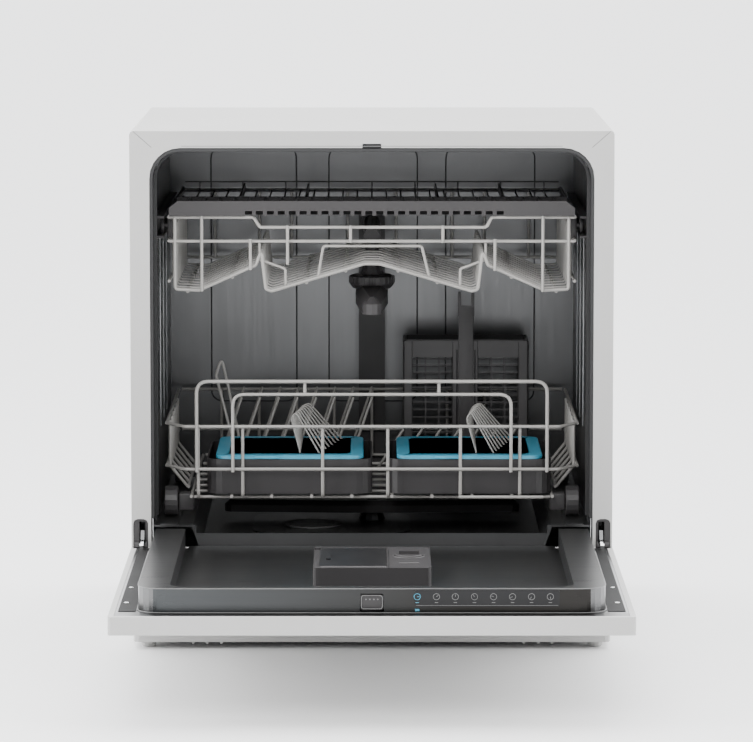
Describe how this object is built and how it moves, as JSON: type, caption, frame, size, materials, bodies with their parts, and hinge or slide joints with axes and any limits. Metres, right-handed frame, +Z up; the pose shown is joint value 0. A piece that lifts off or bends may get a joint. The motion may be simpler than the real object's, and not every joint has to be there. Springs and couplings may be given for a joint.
{
  "type": "countertop dishwasher",
  "caption": "Compact countertop dishwasher with a drop-down door, sliding wire baskets, a cutlery tray, rotating spray arms and a steel tub.",
  "frame": {"origin": "centre of the whole footprint with the door open, on the surface the feet stand on", "axes": "+X to the right seen from the front, +Y from the open door towards the back panel, +Z up"},
  "size_m": [0.55, 0.9608, 0.595],
  "materials": {
    "white_paint": "smooth semi-gloss white",
    "white_plastic": "smooth semi-gloss white moulding",
    "tub_steel": "satin stainless sheet",
    "dark_plastic": "fine satin dark grey moulding",
    "black_gloss": "polished black",
    "coated_wire": "warm grey nylon coating over steel wire",
    "blue_plastic": "satin light blue moulding",
    "chrome": "bright plated",
    "black_rubber": "soft black",
    "grey_plastic": "satin mid grey moulding",
    "galvanised": "dull zinc-coated sheet"
  },
  "bodies": {
    "cabinet": {"cabinet_shell": "white_paint", "front_frame": "white_plastic", "rear_panel": "galvanised", "base_tray": "white_plastic", "tub": "tub_steel", "door_gasket": "black_rubber", "door_strike": "black_gloss", "hinge_bracket_left": "dark_plastic", "hinge_bracket_right": "dark_plastic", "upper_rail_left": "dark_plastic", "upper_rail_right": "dark_plastic", "rear_duct": "dark_plastic", "filter_plate": "tub_steel", "sump": "dark_plastic", "circulation_pump": "dark_plastic", "drain_pump": "grey_plastic", "inlet_valve_port": "dark_plastic", "drain_port": "grey_plastic", "mains_gland": "black_rubber"},
    "front_foot_left": {"front_foot_left": "black_rubber"},
    "front_foot_right": {"front_foot_right": "black_rubber"},
    "filter_cup": {"filter_cup": "grey_plastic"},
    "salt_cap": {"salt_cap": "grey_plastic"},
    "lower_spray_arm": {"lower_spray_arm": "grey_plastic"},
    "door": {"door_outer_panel": "white_paint", "door_liner": "tub_steel", "control_strip": "black_gloss", "dispenser_body": "dark_plastic", "hinge_arm_left": "chrome", "hinge_arm_right": "chrome"},
    "detergent_lid": {"detergent_lid": "black_gloss"},
    "rinse_aid_cap": {"rinse_aid_cap": "dark_plastic"},
    "door_latch": {"door_latch": "dark_plastic"},
    "lower_basket": {"lower_basket_floor": "coated_wire", "lower_basket_front": "coated_wire", "lower_basket_back": "coated_wire", "lower_basket_left": "coated_wire", "lower_basket_right": "coated_wire"},
    "plate_tines_front": {"plate_tines_front": "coated_wire"},
    "plate_tines_rear": {"plate_tines_rear": "coated_wire"},
    "bowl_tines": {"bowl_tines": "coated_wire"},
    "tray_left": {"tray_left": "dark_plastic", "tray_cover_left": "blue_plastic"},
    "tray_right": {"tray_right": "dark_plastic", "tray_cover_right": "blue_plastic"},
    "cutlery_basket": {"cutlery_basket": "dark_plastic"},
    "upper_basket": {"upper_basket_floor": "coated_wire", "upper_basket_front": "coated_wire", "upper_basket_back": "coated_wire", "upper_basket_left": "coated_wire", "upper_basket_right": "coated_wire", "upper_feed_pipe": "dark_plastic"},
    "upper_wheel_left": {"upper_wheel_left": "dark_plastic"},
    "upper_wheel_right": {"upper_wheel_right": "dark_plastic"},
    "upper_spray_arm": {"upper_spray_arm": "grey_plastic"},
    "cutlery_tray": {"cutlery_tray": "dark_plastic"},
    "lower_wheel_front_left": {"lower_wheel_front_left": "dark_plastic"},
    "lower_wheel_front_right": {"lower_wheel_front_right": "dark_plastic"},
    "lower_wheel_rear_left": {"lower_wheel_rear_left": "dark_plastic"},
    "lower_wheel_rear_right": {"lower_wheel_rear_right": "dark_plastic"}
  },
  "joints": [
    {"name": "door_hinge", "type": "hinge", "parent": "cabinet", "child": "door", "pos_m": [0, -0.0076, 0.1197], "axis": [-1, 0, 0], "range_deg": [0, 90]},
    {"name": "lower_basket_slide", "type": "slide", "parent": "cabinet", "child": "lower_basket", "axis": [0, 1, 0], "range_m": [-0.355, 0]},
    {"name": "upper_basket_slide", "type": "slide", "parent": "cabinet", "child": "upper_basket", "axis": [0, 1, 0], "range_m": [-0.3, 0]},
    {"name": "cutlery_tray_slide", "type": "slide", "parent": "upper_basket", "child": "cutlery_tray", "axis": [0, 1, 0], "range_m": [-0.1, 0]},
    {"name": "upper_spray_arm_spin", "type": "hinge", "parent": "upper_basket", "child": "upper_spray_arm", "pos_m": [0, 0.2074, 0.39], "axis": [0, 0, 1], "continuous": true},
    {"name": "lower_spray_arm_spin", "type": "hinge", "parent": "cabinet", "child": "lower_spray_arm", "pos_m": [0, 0.2074, 0.136], "axis": [0, 0, 1], "continuous": true},
    {"name": "detergent_lid_slide", "type": "slide", "parent": "door", "child": "detergent_lid", "axis": [-1, 0, 0], "range_m": [0, 0.055]},
    {"name": "rinse_aid_cap_turn", "type": "hinge", "parent": "door", "child": "rinse_aid_cap", "pos_m": [0.0405, -0.2336, 0.1445], "axis": [0, 0, 1], "range_deg": [0, 90]},
    {"name": "door_latch_press", "type": "slide", "parent": "door", "child": "door_latch", "axis": [0, 1, 0], "range_m": [0, 0.003], "stiffness_N_per_m": 400},
    {"name": "plate_tines_front_fold", "type": "hinge", "parent": "lower_basket", "child": "plate_tines_front", "pos_m": [0, 0.2544, 0.1751], "axis": [-1, 0, 0], "range_deg": [0, 80]},
    {"name": "plate_tines_rear_fold", "type": "hinge", "parent": "lower_basket", "child": "plate_tines_rear", "pos_m": [0, 0.3544, 0.1751], "axis": [-1, 0, 0], "range_deg": [-80, 0]},
    {"name": "bowl_tines_fold", "type": "hinge", "parent": "lower_basket", "child": "bowl_tines", "pos_m": [0, 0.2424, 0.1751], "axis": [-1, 0, 0], "range_deg": [0, 80]},
    {"name": "tray_left_lift", "type": "slide", "parent": "lower_basket", "child": "tray_left", "axis": [0, 0, -1], "range_m": [-0.05, 0]},
    {"name": "tray_right_lift", "type": "slide", "parent": "lower_basket", "child": "tray_right", "axis": [0, 0, -1], "range_m": [-0.05, 0]},
    {"name": "cutlery_basket_lift", "type": "slide", "parent": "lower_basket", "child": "cutlery_basket", "axis": [0, 0, -1], "range_m": [-0.018, 0]},
    {"name": "filter_cup_twist", "type": "hinge", "parent": "cabinet", "child": "filter_cup", "pos_m": [-0.07, 0.1574, 0.1195], "axis": [0, 0, 1], "range_deg": [0, 90]},
    {"name": "salt_cap_turn", "type": "hinge", "parent": "cabinet", "child": "salt_cap", "pos_m": [0.115, 0.3074, 0.118], "axis": [0, 0, 1], "range_deg": [0, 90]},
    {"name": "front_foot_left_screw", "type": "hinge", "parent": "cabinet", "child": "front_foot_left", "pos_m": [-0.257, 0.0144, 0], "axis": [0, 0, 1], "continuous": true},
    {"name": "lower_wheel_front_left_roll", "type": "hinge", "parent": "lower_basket", "child": "lower_wheel_front_left", "pos_m": [-0.23175, 0.0584, 0.1628], "axis": [1, 0, 0], "continuous": true},
    {"name": "lower_wheel_rear_left_roll", "type": "hinge", "parent": "lower_basket", "child": "lower_wheel_rear_left", "pos_m": [-0.23175, 0.3324, 0.1628], "axis": [1, 0, 0], "continuous": true},
    {"name": "upper_wheel_left_roll", "type": "hinge", "parent": "upper_basket", "child": "upper_wheel_left", "pos_m": [-0.2411, 0.3644, 0.4815], "axis": [1, 0, 0], "continuous": true},
    {"name": "front_foot_right_screw", "type": "hinge", "parent": "cabinet", "child": "front_foot_right", "pos_m": [0.257, 0.0144, 0], "axis": [0, 0, 1], "continuous": true},
    {"name": "lower_wheel_front_right_roll", "type": "hinge", "parent": "lower_basket", "child": "lower_wheel_front_right", "pos_m": [0.23175, 0.0584, 0.1628], "axis": [1, 0, 0], "continuous": true},
    {"name": "lower_wheel_rear_right_roll", "type": "hinge", "parent": "lower_basket", "child": "lower_wheel_rear_right", "pos_m": [0.23175, 0.3324, 0.1628], "axis": [1, 0, 0], "continuous": true},
    {"name": "upper_wheel_right_roll", "type": "hinge", "parent": "upper_basket", "child": "upper_wheel_right", "pos_m": [0.2411, 0.3644, 0.4815], "axis": [1, 0, 0], "continuous": true}
  ],
  "couplings": [
    {"joint": "lower_wheel_front_left_roll", "follows": "lower_basket_slide", "rad_per_m": -57.143},
    {"joint": "lower_wheel_rear_left_roll", "follows": "lower_basket_slide", "rad_per_m": -57.143},
    {"joint": "upper_wheel_left_roll", "follows": "upper_basket_slide", "rad_per_m": -108.7},
    {"joint": "lower_wheel_front_right_roll", "follows": "lower_basket_slide", "rad_per_m": -57.143},
    {"joint": "lower_wheel_rear_right_roll", "follows": "lower_basket_slide", "rad_per_m": -57.143},
    {"joint": "upper_wheel_right_roll", "follows": "upper_basket_slide", "rad_per_m": -108.7}
  ]
}
